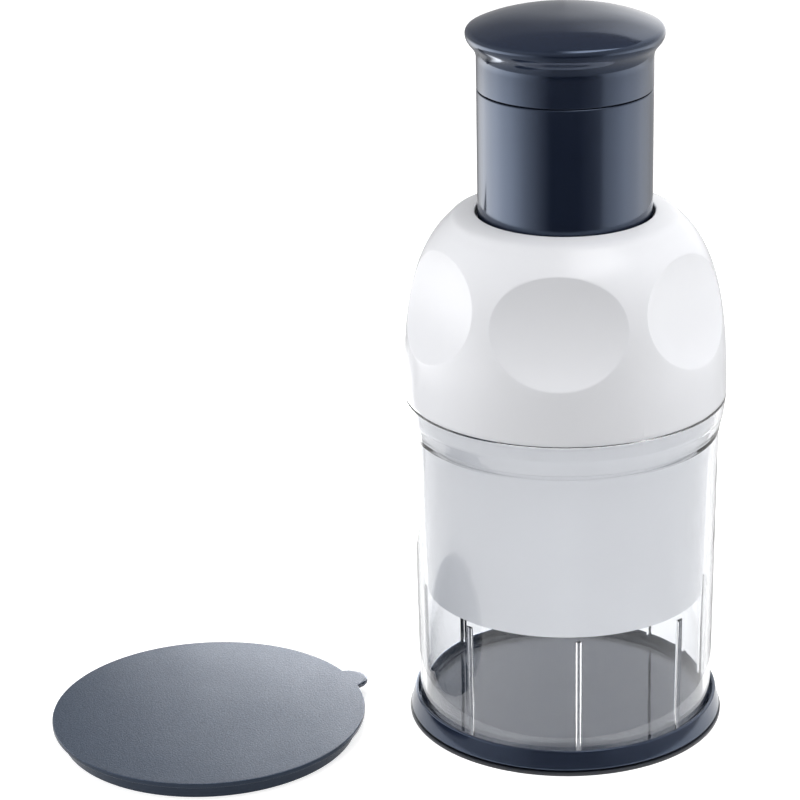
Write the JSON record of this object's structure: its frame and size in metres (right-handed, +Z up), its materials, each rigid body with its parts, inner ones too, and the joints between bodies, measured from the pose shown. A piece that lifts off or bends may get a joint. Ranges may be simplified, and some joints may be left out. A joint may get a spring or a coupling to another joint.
{
  "type": "food chopper",
  "caption": "Push-down food chopper: palm knob on a sprung plunger, dimpled dome, zigzag blades that turn as they drop into a clear ribbed container in a tray, and a storage lid.",
  "frame": {"origin": "centre of the foot pad's underside, on the table, under the chopper's axis", "axes": "+Z up along the chopper's axis, +X to the right and -Y to the front as pictured; the storage lid lies towards -X"},
  "size_m": [0.2241, 0.1236, 0.2415],
  "materials": {
    "white_abs": "glossy moulded white",
    "anthracite_abs": "high gloss moulded anthracite",
    "anthracite_grained": "fine matte grain on top, smooth skirt",
    "clear_san": "clear glossy",
    "grey_acetal": "satin moulded",
    "dark_elastomer": "matte soft",
    "stainless_steel": "bright brushed"
  },
  "bodies": {
    "base": {"foot_pad": "dark_elastomer", "base_tray": "anthracite_abs"},
    "container": {"container": "clear_san"},
    "housing": {"dome_housing": "white_abs", "guide_frame": "grey_acetal", "housing_screw_1": "stainless_steel", "housing_screw_2": "stainless_steel", "housing_screw_3": "stainless_steel", "inner_sleeve": "white_abs", "index_nut": "grey_acetal", "nut_retainer": "grey_acetal", "stop_ring": "dark_elastomer", "spring_seat": "grey_acetal", "return_spring": "stainless_steel"},
    "wiper": {"wiper_disc": "white_abs"},
    "plunger": {"plunger_tube": "anthracite_abs", "thrust_bush": "grey_acetal", "knob": "anthracite_abs"},
    "blade_unit": {"drive_shaft": "stainless_steel", "shaft_washer": "stainless_steel", "shaft_screw": "stainless_steel", "blade_hub": "grey_acetal", "zigzag_blade_1": "stainless_steel", "zigzag_blade_2": "stainless_steel", "zigzag_blade_3": "stainless_steel", "blade_rivet_1": "stainless_steel", "blade_rivet_2": "stainless_steel", "blade_rivet_3": "stainless_steel", "blade_screw": "stainless_steel"},
    "lid": {"storage_lid": "anthracite_grained"}
  },
  "joints": [
    {"name": "container_lift", "type": "slide", "parent": "base", "child": "container", "axis": [0, 0, 1], "range_m": [0, 0.08]},
    {"name": "housing_lift", "type": "slide", "parent": "container", "child": "housing", "axis": [0, 0, 1], "range_m": [0, 0.12]},
    {"name": "plunger_press", "type": "slide", "parent": "housing", "child": "plunger", "axis": [0, 0, -1], "range_m": [0, 0.044], "stiffness_N_per_m": 600, "springref_m": -0.035, "deforming": ["return_spring"]},
    {"name": "blade_turn", "type": "hinge", "parent": "plunger", "child": "blade_unit", "pos_m": [0, 0, 0.06], "axis": [0, 0, 1], "range_deg": [0, 45.5]},
    {"name": "wiper_turn", "type": "hinge", "parent": "housing", "child": "wiper", "pos_m": [0, 0, 0.049], "axis": [0, 0, 1], "range_deg": [0, 45.5]},
    {"name": "lid_lift", "type": "slide", "parent": "base", "child": "lid", "axis": [0, 0, 1], "range_m": [0, 0.12]}
  ],
  "couplings": [
    {"joint": "blade_turn", "follows": "plunger_press", "rad_per_m": 17.85},
    {"joint": "wiper_turn", "follows": "plunger_press", "rad_per_m": 17.85}
  ]
}
